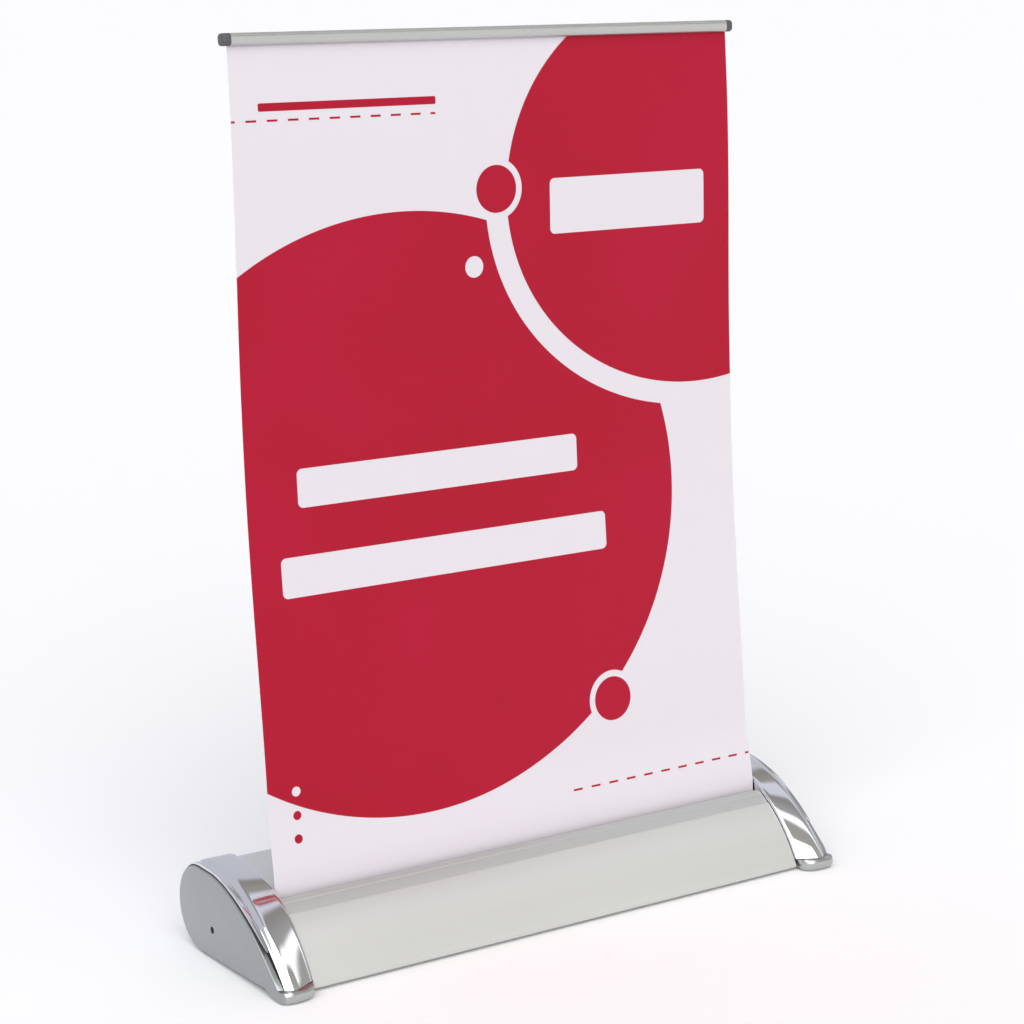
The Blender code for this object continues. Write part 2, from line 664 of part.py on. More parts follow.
finish(make_profile())
make_socket()
for side_name, side_sign in SIDES:
    make_end_frame(side_name, side_sign)
    finish(make_cover(side_name, side_sign))
    for screw_number, screw_place in enumerate(SCREW_PLACES):
        make_screw(side_name, side_sign, screw_number, screw_place)
make_pads()
make_roller()
make_spring_set()
make_tail()
make_rail()
make_clip()
make_film()
make_pole()
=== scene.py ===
"""Looks of the small tabletop roll-up banner stand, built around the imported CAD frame."""
import math

import bmesh
import bpy
from mathutils import Matrix, Vector


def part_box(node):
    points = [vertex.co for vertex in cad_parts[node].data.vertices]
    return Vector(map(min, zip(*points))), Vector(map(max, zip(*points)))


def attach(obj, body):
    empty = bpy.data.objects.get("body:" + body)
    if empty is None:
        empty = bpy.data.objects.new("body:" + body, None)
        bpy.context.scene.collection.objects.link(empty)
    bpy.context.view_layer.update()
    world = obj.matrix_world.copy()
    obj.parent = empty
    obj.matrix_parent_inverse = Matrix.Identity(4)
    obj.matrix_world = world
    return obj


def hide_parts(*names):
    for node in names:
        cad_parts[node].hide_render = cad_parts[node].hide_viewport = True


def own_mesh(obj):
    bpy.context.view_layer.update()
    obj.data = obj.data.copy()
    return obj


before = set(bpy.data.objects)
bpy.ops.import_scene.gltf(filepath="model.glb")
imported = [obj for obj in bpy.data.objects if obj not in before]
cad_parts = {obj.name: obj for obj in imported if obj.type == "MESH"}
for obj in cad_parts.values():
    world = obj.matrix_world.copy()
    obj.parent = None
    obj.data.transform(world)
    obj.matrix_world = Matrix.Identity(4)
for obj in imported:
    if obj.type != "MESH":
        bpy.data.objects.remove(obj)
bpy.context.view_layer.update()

SIDES = (("left", -1.0), ("right", 1.0))

# ---------------------------------------------------------------- sizes, in metres
LEAN = math.radians(4.7)            # the film and the pole lean back
AXIS = (0.0, math.sin(LEAN), math.cos(LEAN))
SLOT = (-0.00515, 0.0242)           # y, z where the line of the film starts
FILM_WIDTH = 0.210
FILM_LENGTH = 0.290                 # film in view, from the slot to the rail
FILM_THICK = 0.00025
FILM_IN_RAIL = 0.0015               # film held inside the rail
FILM_BELOW = 0.0030                 # film below the slot's lips
FILM_SHUT = 0.0050                  # where the film starts, above the slot, when the rail is down
FILM_LOW = -FILM_BELOW
FILM_HIGH = FILM_LENGTH + FILM_IN_RAIL
RUN_BEHIND = 0.00045                # the inner run's upper end stands this far behind the banner

BOW = 0.0045                        # how far the film hangs back between slot and rail
BOW_MIDDLE = 0.53                   # share of the height where it hangs back most
BOW_REACH = 0.42                    # share of the height from there to where the bow ends
BELLY_LEFT = 0.0017                 # how far the foot of the film leans further back, at its left edge
BELLY_MORE = 0.0015                 # how much more at its right edge
BELLY_START = 0.004                 # the lean starts here, above the slot
BELLY_RISE = 0.026                  # and is full after this length
BELLY_END = 0.175                   # it is gone at this height
BELLY_FADE = 0.115                  # after fading over this length

PROFILE_HALF = 0.1052
WALL = 0.0013
BOTTOM_Z = 0.0009                   # underside of the cassette
CAP_INNER_X = 0.1055                # inner face of an end cap
SIDE_X = 0.1200                     # outer face of a cover plate
PLATE_INNER_X = 0.1179
AXLE = (0.01315, 0.0111)            # y, z of the roller's axis
AXLE_HOLE_RADIUS = 0.00125
ROLL_RADIUS = 0.0078
POLE_BEHIND = 0.0095                # from the film's line to the pole's axis
POLE_RADIUS = 0.0025
POLE_BORE = 0.0017
POLE_CHAMFER = 0.0001
SOCKET_HOLE_RADIUS = 0.0043
RAIL_HALF = 0.1043
RAIL_CAP_END = 0.1073
RAIL_START = 0.2903                 # underside of the rail, up the film
RAIL_DEPTH = 0.0046
RAIL_HEIGHT = 0.0043
RAIL_CORNER = 0.0015
RAIL_CHANNEL = 0.0006               # half the width of the rail's channel
RAIL_ROOF = 0.0014                  # material over the channel
POLE_FIT = 0.00285                  # radius of the clip's and the socket's bore around the pole
CLIP_RADIUS = 0.0043
CLIP_HEIGHT = 0.0023


# ---------------------------------------------------------------- outlines in the Y-Z plane
def share_of(value, start, length):
    """How far a value is along a stretch, from 0 before it to 1 after it."""
    return min(max((value - start) / length, 0.0), 1.0)


def eased(share):
    """A 0 to 1 share with a soft start and end."""
    return share * share * (3 - 2 * share)


def between(first, second, share):
    """A point on the way from one point to another."""
    return (first[0] + (second[0] - first[0]) * share, first[1] + (second[1] - first[1]) * share)


def arc(centre, radius, start, end, steps):
    """Points on a circle, angles in degrees from +Y towards +Z."""
    turns = [math.radians(start + (end - start) * i / steps) for i in range(steps + 1)]
    return [(centre[0] + radius * math.cos(a), centre[1] + radius * math.sin(a)) for a in turns]


def bezier_point(controls, t):
    """A point on a cubic curve."""
    weights = ((1 - t) ** 3, 3 * t * (1 - t) ** 2, 3 * t * t * (1 - t), t ** 3)
    return (sum(w * c[0] for w, c in zip(weights, controls)),
            sum(w * c[1] for w, c in zip(weights, controls)))


def bezier(controls, start, end, steps):
    """Points on a cubic curve between two of its parameters."""
    return [bezier_point(controls, start + (end - start) * i / steps) for i in range(steps + 1)]


def inset(points, distance, closed=True):
    """An outline moved to its left by a distance: inwards when it runs anticlockwise."""
    moved = []
    count = len(points)
    for i in range(count):
        before = points[i - 1] if closed else points[max(i - 1, 0)]
        after = points[(i + 1) % count] if closed else points[min(i + 1, count - 1)]
        along = (Vector(after) - Vector(before)).normalized()
        moved.append((points[i][0] - along.y * distance, points[i][1] + along.x * distance))
    return moved


def film_point(along, behind=0.0):
    """y, z of a point a distance up the film and a distance behind it."""
    return (SLOT[0] + along * math.sin(LEAN) + behind * math.cos(LEAN),
            SLOT[1] + along * math.cos(LEAN) - behind * math.sin(LEAN))


POLE_BASE = (0.0, *film_point(0.0, POLE_BEHIND))     # on the pole's axis, level with the slot


# y, z of the control points of each front curve, and the circle behind it
PROFILE_FRONT = ((0.01485, 0.0312), (-0.00715, 0.0312), (-0.02235, 0.0188), (-0.03155, 0.0019))
PROFILE_REAR = (0.02215, 0.0160)
PROFILE_REAR_RADIUS = 0.0151
RIM_FRONT_INNER = ((0.01485, 0.0331), (-0.00815, 0.0325), (-0.02315, 0.0200), (-0.03195, 0.0022))
RIM_FRONT_OUTER = ((0.01485, 0.0331), (-0.00615, 0.0331), (-0.02630, 0.0158), (-0.03500, 0.0044))
RIM_REAR = (0.02145, 0.0170)
RIM_REAR_RADIUS = 0.0161
PLATE_FRONT = ((0.01485, 0.0317), (-0.00615, 0.0317), (-0.02515, 0.0150), (-0.03375, 0.0050))
PLATE_REAR = (0.02215, 0.0162)
PLATE_REAR_RADIUS = 0.0154
PLATE_HEEL = ((-0.0300, 0.0), (-0.0283, 0.0003), (-0.0268, 0.0010), (-0.0255, 0.0018), (-0.0240, 0.0022))
PLATE_REAR_STEPS = 40
PLATE_FRONT_STEPS = 32
PLATE_SHY = 0.0021                  # how far the plate is drawn in along the front, where more band shows
SHY_POINTS = 44                     # it starts this many points before the end of the front
SHY_RISE = 26                       # and is reached this many points later
SHY_FALL = 11                       # over the last points it comes back
SHY_LOSS = 0.55                     # by this share
NOSE = (-0.03495, 0.0026)           # middle of the toe's round end
NOSE_RADIUS = 0.0026
FOOT_REAR_Y = -0.0279
FOOT_TOP_Z = 0.0042


def plate_outline():
    """The cover plate's outline, drawn in from the band along the top and the front."""
    edge = arc(PLATE_REAR, PLATE_REAR_RADIUS, -90, 90, PLATE_REAR_STEPS)
    edge += bezier(PLATE_FRONT, 0.0, 1.0, PLATE_FRONT_STEPS)
    last = PLATE_REAR_STEPS + PLATE_FRONT_STEPS + 1
    points = list(PLATE_HEEL)
    for i, (kept, moved) in enumerate(zip(edge, inset(edge, PLATE_SHY, closed=False))):
        rise = eased(share_of(i, last - SHY_POINTS, SHY_RISE))
        fall = share_of(i, last - SHY_FALL, SHY_FALL)
        points.append(between(kept, moved, rise - SHY_LOSS * fall * fall))
    return points + arc(NOSE, NOSE_RADIUS, 135, 270, 12)


# ---------------------------------------------------------------- mesh helpers
def new_mesh(name, build, smooth_angle=35):
    """An object from a function that fills a bmesh, shaded smooth up to an angle."""
    mesh = bpy.data.meshes.new(name)
    body = bmesh.new()
    build(body)
    bmesh.ops.recalc_face_normals(body, faces=body.faces)
    body.to_mesh(mesh)
    body.free()
    mesh.shade_smooth()
    mesh.set_sharp_from_angle(angle=math.radians(smooth_angle))
    piece = bpy.data.objects.new(name, mesh)
    bpy.context.scene.collection.objects.link(piece)
    return piece


def add_loft(body, rings):
    """Faces through rings of points, with an n-gon over each end."""
    loops = [[body.verts.new(point) for point in ring] for ring in rings]
    count = len(loops[0])
    for ring, following in zip(loops, loops[1:]):
        for i in range(count):
            j = (i + 1) % count
            body.faces.new((ring[i], ring[j], following[j], following[i]))
    body.faces.new(loops[0])
    body.faces.new(loops[-1])


def loft(name, rings, smooth_angle=35):
    """A closed solid through rings of points."""
    return new_mesh(name, lambda body: add_loft(body, rings), smooth_angle)


def turned(name, profile, origin, direction, steps=48, closed=False, smooth_angle=35):
    """A (radius, height) profile turned about a line."""
    lift = Vector(direction).to_track_quat("Z", "Y").to_matrix().to_4x4()
    stand = Matrix.Translation(origin) @ lift

    def build(body):
        dots = [body.verts.new((radius, 0.0, height)) for radius, height in profile]
        pairs = list(zip(dots, dots[1:])) + ([(dots[-1], dots[0])] if closed else [])
        edges = [body.edges.new(pair) for pair in pairs]
        bmesh.ops.spin(body, geom=dots + edges, cent=(0, 0, 0), axis=(0, 0, 1), angle=2 * math.pi,
                       steps=steps, use_merge=True)
        bmesh.ops.remove_doubles(body, verts=body.verts, dist=1e-6)
        bmesh.ops.transform(body, matrix=stand, verts=body.verts)

    return new_mesh(name, build, smooth_angle)


def apply_modifiers(piece, smooth_angle):
    """The piece's mesh as its modifiers make it."""
    bpy.context.view_layer.update()
    seen = piece.evaluated_get(bpy.context.evaluated_depsgraph_get())
    mesh = bpy.data.meshes.new_from_object(seen)
    piece.modifiers.clear()
    piece.data = mesh
    piece.data.shade_smooth()
    piece.data.set_sharp_from_angle(angle=math.radians(smooth_angle))
    return piece


def cut(piece, tool):
    """Cut a tool out of a piece for good; the cut faces take the tool's material."""
    step = piece.modifiers.new("cut", "BOOLEAN")
    step.operation = "DIFFERENCE"
    step.solver = "EXACT"
    step.material_mode = "TRANSFER"
    step.object = tool
    apply_modifiers(piece, 35)
    bpy.data.objects.remove(tool, do_unlink=True)


def apply_bevel(piece, width):
    """Rounded edges, applied."""
    step = piece.modifiers.new("bevel", "BEVEL")
    step.width = width
    step.segments = 3
    step.limit_method = "ANGLE"
    step.angle_limit = math.radians(40)
    return apply_modifiers(piece, 50)


def paint(piece, *materials):
    """Give a piece its materials; all its faces take the first."""
    piece.data.materials.clear()
    for material in materials:
        piece.data.materials.append(material)
    return piece


def place(piece, body, slot, *nodes):
    """Ride on a body and stand for CAD nodes; the slot is not used."""
    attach(piece, body)
    if nodes:
        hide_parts(*nodes)


# ---------------------------------------------------------------- material helpers
def math_node(tree, operation, first, second=None, clamp=False):
    """A Math node between sockets or plain numbers."""
    made = tree.nodes.new("ShaderNodeMath")
    made.operation = operation
    made.use_clamp = clamp
    for socket, value in zip(made.inputs, (first, second)):
        if isinstance(value, (int, float)):
            socket.default_value = value
        elif value is not None:
            tree.links.new(value, socket)
    return made.outputs[0]


class Nodes:
    """Short calls for building one material."""

    def __init__(self, name):
        self.material = bpy.data.materials.new(name)
        self.material.use_nodes = True
        self.tree = self.material.node_tree
        self.shader = self.tree.nodes["Principled BSDF"]

    def node(self, kind, **values):
        made = self.tree.nodes.new(kind)
        for key, value in values.items():
            setattr(made, key, value)
        return made

    def link(self, source, target):
        """Join two sockets."""
        self.tree.links.new(source, target)

    def math(self, operation, first, second=None, clamp=False):
        return math_node(self.tree, operation, first, second, clamp)

    def coordinates(self, scale=(1.0, 1.0, 1.0)):
        """Object coordinates, in metres, stretched by scale."""
        source = self.node("ShaderNodeTexCoord")
        mapping = self.node("ShaderNodeMapping")
        mapping.inputs["Scale"].default_value = scale
        self.link(source.outputs["Object"], mapping.inputs["Vector"])
        return mapping.outputs["Vector"]

    def noise(self, scale, stretch=(1.0, 1.0, 1.0), detail=4.0, roughness=0.6):
        made = self.node("ShaderNodeTexNoise")
        made.inputs["Scale"].default_value = scale
        made.inputs["Detail"].default_value = detail
        made.inputs["Roughness"].default_value = roughness
        self.link(self.coordinates(stretch), made.inputs["Vector"])
        return made.outputs["Fac"]

    def spread(self, value, low, high):
        """The middle half of a noise's values, mapped to a range."""
        made = self.node("ShaderNodeMapRange")
        made.inputs["From Min"].default_value = 0.25
        made.inputs["From Max"].default_value = 0.75
        made.inputs["To Min"].default_value = low
        made.inputs["To Max"].default_value = high
        self.link(value, made.inputs["Value"])
        return made.outputs["Result"]

    def mix(self, factor, first, second):
        made = self.node("ShaderNodeMix", data_type="RGBA")
        for socket, value in ((made.inputs[6], first), (made.inputs[7], second)):
            if isinstance(value, tuple):
                socket.default_value = (*value, 1.0)
            else:
                self.link(value, socket)
        self.link(factor, made.inputs[0])
        return made.outputs[2]

    def bump(self, height, strength, distance):
        made = self.node("ShaderNodeBump")
        made.inputs["Strength"].default_value = strength
        made.inputs["Distance"].default_value = distance
        self.link(height, made.inputs["Height"])
        self.link(made.outputs["Normal"], self.shader.inputs["Normal"])

    def fixed(self, **values):
        for key, value in values.items():
            self.shader.inputs[key.replace("_", " ")].default_value = value


def metal(name, dark, light, rough, spread, scale, stretch, bump, depth, metallic=1.0):
    """A metal with fine grain stretched along its drawing direction."""
    made = Nodes(name)
    grain = made.noise(scale, stretch, 5.0, 0.65)
    cloud = made.noise(22.0)
    blend = made.math("ADD", made.math("MULTIPLY", grain, 0.6), made.math("MULTIPLY", cloud, 0.4))
    made.link(made.mix(blend, dark, light), made.shader.inputs["Base Color"])
    made.link(made.spread(grain, rough - spread, rough + spread), made.shader.inputs["Roughness"])
    made.bump(grain, bump, depth)
    made.fixed(Metallic=metallic)
    return made.material


def plastic(name, dark, light, rough):
    """Moulded plastic with a fine spark-eroded texture."""
    made = Nodes(name)
    grain = made.noise(2600.0, detail=2.0)
    cloud = made.noise(60.0)
    made.link(made.mix(cloud, dark, light), made.shader.inputs["Base Color"])
    made.link(made.spread(grain, rough - 0.06, rough + 0.06), made.shader.inputs["Roughness"])
    made.bump(grain, 0.15, 0.00005)
    return made.material


# ---------------------------------------------------------------- the print, in film millimetres
RED = (0.352, 0.0030, 0.0180)
RED_PINK = (0.385, 0.0040, 0.0300)
WHITE = (0.650, 0.610, 0.655)
BACK_WHITE = (0.74, 0.74, 0.75)
BACK_GREY = (0.70, 0.70, 0.72)
EDGE_SHARPNESS = 6.5                # how fast the ink fills in at a shape's edge, per millimetre
DASH_LENGTH = 4.1
DASH_PITCH = 8.1
DASH_HALF_HEIGHT = 0.38

LARGE_OVAL = (65.0, 125.4, 115.7, 106.5)    # u, v of its middle, half width, half height
UPPER_RING = (194.2, 234.9, 94.1, 82.6)
UPPER_OVAL = (194.2, 234.9, 85.0, 74.4)
RINGED_DOTS = ((104.9, 237.5, 10.9, 8.5), (147.6, 46.3, 10.6, 8.2))     # u, v, ring radius, dot radius
WHITE_DOTS = ((95.0, 210.5, 3.8), (11.3, 36.0, 1.7))
RED_DOTS = ((11.2, 27.6, 1.6), (10.9, 19.5, 1.6))
DASHED_LINES = ((-1.0, 80.3, 265.2, -2.7), (126.8, 209.5, 15.4, 126.8))     # from u, to u, v, a dash's start
RED_BAR = ((10.3, 268.3), (80.6, 271.1), 0.6)       # lower left and upper right corners, corner radius
WHITE_BARS = (((128.0, 220.0), (198.0, 240.0), 2.0),
              ((20.0, 133.0), (137.5, 146.5), 2.0),
              ((11.8, 102.5), (149.0, 116.5), 2.0))


class Print:
    """The banner's artwork: u from the left edge, v up from the slot."""

    def __init__(self, nodes):
        self.math = nodes.math
        source = nodes.node("ShaderNodeUVMap")
        source.uv_map = "film_mm"
        parts = nodes.node("ShaderNodeSeparateXYZ")
        nodes.link(source.outputs["UV"], parts.inputs["Vector"])
        self.u = self.math("MULTIPLY", parts.outputs["X"], FILM_WIDTH * 1000)
        self.v = self.math("MULTIPLY", parts.outputs["Y"], FILM_LENGTH * 1000)
        self.ink = None

    def edge(self, distance):
        """1 inside, where the distance to the edge is positive, and 0 outside."""
        return self.math("ADD", self.math("MULTIPLY", distance, EDGE_SHARPNESS), 0.5, clamp=True)

    def length(self, across, up):
        """The length of a pair of sides."""
        squares = self.math("ADD", self.math("MULTIPLY", across, across), self.math("MULTIPLY", up, up))
        return self.math("SQRT", squares)

    def oval(self, u, v, half_width, half_height):
        """An upright oval about a point."""
        across = self.math("DIVIDE", self.math("SUBTRACT", self.u, u), half_width)
        up = self.math("DIVIDE", self.math("SUBTRACT", self.v, v), half_height)
        inside = self.math("SUBTRACT", 1.0, self.length(across, up))
        return self.edge(self.math("MULTIPLY", inside, min(half_width, half_height)))

    def disc(self, u, v, radius):
        """A round spot."""
        return self.oval(u, v, radius, radius)

    def bar(self, low, high, corner):
        """A rectangle with rounded corners between two (u, v) corners."""
        sides = []
        for value, start, end in ((self.u, low[0], high[0]), (self.v, low[1], high[1])):
            away = self.math("ABSOLUTE", self.math("SUBTRACT", value, (start + end) / 2))
            straight = (end - start) / 2 - corner
            sides.append(self.math("MAXIMUM", self.math("SUBTRACT", away, straight), 0.0))
        return self.edge(self.math("SUBTRACT", corner, self.length(*sides)))

    def dashes(self, start, end, height, phase):
        """A fine dashed line."""
        line = self.bar((start, height - DASH_HALF_HEIGHT), (end, height + DASH_HALF_HEIGHT), 0.1)
        along = self.math("SUBTRACT", self.u, phase - 100 * DASH_PITCH)
        turn = self.math("MODULO", along, DASH_PITCH)
        away = self.math("ABSOLUTE", self.math("SUBTRACT", turn, DASH_LENGTH / 2))
        return self.math("MULTIPLY", line, self.edge(self.math("SUBTRACT", DASH_LENGTH / 2, away)))

    def bare(self, mask):
        """Leave a shape white in what is printed so far."""
        self.ink = self.math("MULTIPLY", self.ink, self.math("SUBTRACT", 1.0, mask))

    def red(self, mask):
        """Print a shape in red over what is there."""
        if self.ink is None:
            self.ink = mask
        else:
            self.bare(mask)
            self.ink = self.math("ADD", self.ink, mask)


def draw_artwork(made):
    """The red ink: ovals, dots, dashes and plain bars where a text would stand."""
    art = Print(made)
    art.red(art.oval(*LARGE_OVAL))
    art.bare(art.oval(*UPPER_RING))
    art.red(art.oval(*UPPER_OVAL))
    for u, v, ring, dot in RINGED_DOTS:
        art.bare(art.disc(u, v, ring))
        art.red(art.disc(u, v, dot))
    for dot in WHITE_DOTS:
        art.bare(art.disc(*dot))
    for dot in RED_DOTS:
        art.red(art.disc(*dot))
    for line in DASHED_LINES:
        art.red(art.dashes(*line))
    art.red(art.bar(*RED_BAR))
    for bar in WHITE_BARS:
        art.bare(art.bar(*bar))
    return art.ink


def film_front():
    """The printed side: satin, with a slight ripple in the sheet."""
    made = Nodes("printed_film")
    ink = draw_artwork(made)
    cloud = made.noise(9.0, detail=2.0)
    red = made.mix(made.spread(cloud, 0.0, 1.0), RED, RED_PINK)
    made.link(made.mix(ink, WHITE, red), made.shader.inputs["Base Color"])
    grain = made.noise(3800.0, detail=2.0)
    ripple = made.noise(26.0, (1.0, 1.0, 0.35), 2.0)
    made.bump(made.math("ADD", made.math("MULTIPLY", grain, 0.04), ripple), 0.25, 0.00035)
    rough = made.math("ADD", made.spread(grain, 0.40, 0.52), made.math("MULTIPLY", ink, -0.04))
    made.link(rough, made.shader.inputs["Roughness"])
    made.fixed(Specular_IOR_Level=0.18)
    return made.material


def film_back():
    """The unprinted side: matt, slightly grey."""
    made = Nodes("film_back")
    grain = made.noise(3800.0, detail=2.0)
    cloud = made.noise(30.0)
    made.link(made.mix(cloud, BACK_WHITE, BACK_GREY), made.shader.inputs["Base Color"])
    made.link(made.spread(grain, 0.50, 0.62), made.shader.inputs["Roughness"])
    made.bump(grain, 0.10, 0.00004)
    made.fixed(Specular_IOR_Level=0.30)
    return made.material


# ---------------------------------------------------------------- materials
EVEN = (1.0, 1.0, 1.0)
ALONG_X = (0.02, 1.0, 1.0)          # grain drawn out along the cassette
ALONG_Z = (1.0, 1.0, 0.02)          # grain drawn out along the pole

ALUMINIUM = metal("anodised_aluminium", (0.61, 0.618, 0.605), (0.66, 0.668, 0.655), rough=0.42,
                  spread=0.05, scale=900.0, stretch=ALONG_X, bump=0.10, depth=0.00005, metallic=0.55)
# painted shade: a darker copy of the aluminium for the flat strip along the lip, which lies at a flatter
# angle to the light
STRIP_SHADE_ALUMINIUM = metal("strip_painted_shade_aluminium", (0.50, 0.51, 0.505), (0.54, 0.55, 0.545), rough=0.38,
                        spread=0.04, scale=900.0, stretch=ALONG_X, bump=0.05, depth=0.00002, metallic=0.55)
RAIL_ALUMINIUM = metal("rail_aluminium", (0.48, 0.48, 0.475), (0.54, 0.54, 0.535), rough=0.30,
                       spread=0.05, scale=900.0, stretch=ALONG_X, bump=0.10, depth=0.00005, metallic=0.80)
POLE_ALUMINIUM = metal("pole_aluminium", (0.64, 0.645, 0.64), (0.71, 0.715, 0.71), rough=0.30,
                       spread=0.06, scale=900.0, stretch=ALONG_Z, bump=0.12, depth=0.00006)
CHROME = metal("bright_chrome", (0.70, 0.705, 0.73), (0.74, 0.745, 0.77), rough=0.07,
               spread=0.02, scale=60.0, stretch=EVEN, bump=0.05, depth=0.00010)
SATIN_CHROME = metal("satin_chrome", (0.352, 0.365, 0.371), (0.364, 0.377, 0.383), rough=0.30,
                     spread=0.02, scale=2600.0, stretch=EVEN, bump=0.03, depth=0.00001, metallic=0.85)
# painted light: a lighter, less rough copy of the satin chrome for the foot, for the bright floor it
# reflects
FOOT_LIT_CHROME = metal("foot_painted_light_chrome", (0.45, 0.462, 0.465), (0.47, 0.482, 0.485), rough=0.24,
                    spread=0.02, scale=2600.0, stretch=EVEN, bump=0.03, depth=0.00001, metallic=0.9)
STEEL = metal("zinc_steel", (0.40, 0.40, 0.41), (0.52, 0.52, 0.53), rough=0.33,
              spread=0.10, scale=700.0, stretch=(0.3, 1.0, 1.0), bump=0.15, depth=0.00005)
# dark plastic for the plastic parts, also used as painted shade inside the end caps' groove
DARK_PLASTIC_AND_GROOVE_SHADE = plastic("dark_plastic", (0.020, 0.020, 0.022), (0.034, 0.034, 0.037), 0.42)
RAIL_CAP_PLASTIC = plastic("rail_cap_plastic", (0.060, 0.060, 0.066), (0.085, 0.085, 0.092), 0.40)
GREY_PLASTIC = plastic("grey_plastic", (0.20, 0.20, 0.21), (0.26, 0.26, 0.27), 0.48)
RUBBER = plastic("rubber", (0.012, 0.012, 0.012), (0.022, 0.022, 0.022), 0.80)
FILM_FRONT = film_front()
FILM_BACK = film_back()


# ---------------------------------------------------------------- cassette
STRIP_WIDTH = 0.0063                # the flat strip along the lip
LINE_AT = 0.0018                    # the fine line in the strip, from the lip
LINE_DEPTH = 0.00022
LINE_WIDTH = 0.00018
STRIP_SINK = 0.00030                # the strip falls by this towards its lower edge
STEP_LENGTH = 0.0004                # and the front face steps up again over this length
TOP_END = 0.31                      # share of the front curve where the top wall ends, behind the slot
LIP_START = 0.405                   # and where the front wall starts, before it
FRONT_INNER_END = 0.92              # and where the inside of the front wall ends
TOE_CORNER = (-0.0300, 0.0026)
TOE_CORNER_RADIUS = 0.0017
TOE_INSIDE_Y = -0.0275


def profile_relief(distance):
    """Height of the front face's fine lines, by distance down from the lip."""
    line = LINE_DEPTH * math.exp(-((distance - LINE_AT) / LINE_WIDTH) ** 2)
    step = share_of(distance, STRIP_WIDTH - 0.0001, STEP_LENGTH)
    sink = share_of(distance, LINE_AT + 0.0001, STRIP_WIDTH - LINE_AT - 0.0002)
    return STRIP_SINK * (step - sink) - line


def front_face():
    """The front curve of the profile from the lip down, with its relief."""
    steps = 150
    curve = [Vector(point) for point in bezier(PROFILE_FRONT, LIP_START, 1.0, steps)]
    raised = []
    walked = 0.0
    for i, point in enumerate(curve):
        before, after = curve[max(i - 1, 0)], curve[min(i + 1, steps)]
        walked += (point - before).length
        along = (after - before).normalized()
        height = profile_relief(walked)
        raised.append((point.x + along.y * height, point.y - along.x * height))
    return raised


def make_cassette():
    """The aluminium profile: smooth section, rolled lips, the fine lines by the slot and painted shade on
    the strip along the lip.
    """
    top = bezier(PROFILE_FRONT, 0.0, TOP_END, 16)
    back = arc(PROFILE_REAR, PROFILE_REAR_RADIUS, -90, 90, 48)
    front = front_face()
    outer = front[:-1] + arc(TOE_CORNER, TOE_CORNER_RADIUS, 200, 270, 8) + back + top[1:]
    inner_back = inset(back + top[1:], WALL, closed=False)
    inner_front = inset(bezier(PROFILE_FRONT, LIP_START, FRONT_INNER_END, 24), WALL, closed=False)
    rear_lip = round_end(top[-1], inner_back[-1], (-0.86, -0.51))
    front_lip = round_end(inner_front[0], front[0], (0.84, 0.54))
    toe_inside = [(TOE_INSIDE_Y, BOTTOM_Z + WALL)]
    section = outer + rear_lip + inner_back[::-1] + toe_inside + inner_front[::-1] + front_lip
    rings = [[(x, y, z) for y, z in section] for x in (-PROFILE_HALF, PROFILE_HALF)]
    body = loft("cassette_body", rings, 28)
    drill = [(0.0, 0.02), (SOCKET_HOLE_RADIUS, 0.02), (SOCKET_HOLE_RADIUS, -0.006), (0.0, -0.006)]
    cut(body, turned("socket_hole", drill, POLE_BASE, AXIS))
    paint(body, ALUMINIUM, STRIP_SHADE_ALUMINIUM)
    # the faces of the flat strip along the lip take the darker aluminium copy, as painted shade
    lip = Vector(bezier_point(PROFILE_FRONT, LIP_START))
    for face in body.data.polygons:
        in_shaded_strip = (Vector(face.center[1:]) - lip).length < STRIP_WIDTH
        face.material_index = int(in_shaded_strip and face.normal.y < 0 and face.normal.z > 0.2)
    place(body, "cassette", "satin_aluminium", "cassette_profile")


def round_end(start, end, bulge):
    """A half-round end between the two sides of a wall."""
    start, end = Vector(start), Vector(end)
    middle = (start + end) / 2
    half = (start - end).length / 2
    side = (start - end).normalized()
    points = []
    for i in range(1, 8):
        angle = math.pi * i / 8
        point = middle + side * half * math.cos(angle) + Vector(bulge) * half * math.sin(angle)
        points.append((point.x, point.y))
    return points


# ---------------------------------------------------------------- end caps
# x, and how far in from the band's outline: its inner edge, crown, rounded outer edge and bead
RIM_SECTION = ((0.10550, 0.00090), (0.10553, 0.00050), (0.10568, 0.00018), (0.10600, 0.0),
               (0.1070, -0.00002), (0.1085, -0.00004), (0.1105, -0.00005), (0.1125, -0.00005),
               (0.1140, -0.00003), (0.1151, 0.00006), (0.1159, 0.00032), (0.1165, 0.00074),
               (0.1170, 0.00120), (0.1173, 0.00148), (0.1176, 0.00158), (0.1180, 0.00148),
               (0.1184, 0.00140), (0.1188, 0.00146), (0.1191, 0.00175), (0.1192, 0.00225))
FLARE_END_X = 0.1140                # the band widens from the inner to the outer front curve up to here
BAND_FOOT_Z = FOOT_TOP_Z + 0.00015
BAND_FOOT_Y = FOOT_REAR_Y + 0.0003
BAND_HEEL_Z = 0.0026                # underside of the band behind the foot
BAND_BELLY_Y = -0.0230
BAND_REAR_Y = 0.0150
BACK_START = 0.0050                 # towards the back the band's edge is less rounded, from this y
BACK_LENGTH = 0.0280
GROOVE = 0.00035                    # gap around the plate
GROOVE_AT_TOE = 0.00200
GROOVE_LENGTH = 0.0330              # the gap grows over this stretch in y
SEAT_PAST = 0.1250                  # the seat is cut out to here
# x, how far in, and how far its nose is moved back: the plate from its inner to its outer face
PLATE_SECTION = ((PLATE_INNER_X, 0.0, 0.0004), (0.11910, 0.0, 0.0012), (0.11955, 0.0, 0.0018),
                 (0.11982, 0.00008, 0.0024), (0.11995, 0.00022, 0.0029), (SIDE_X, 0.00042, 0.0034))
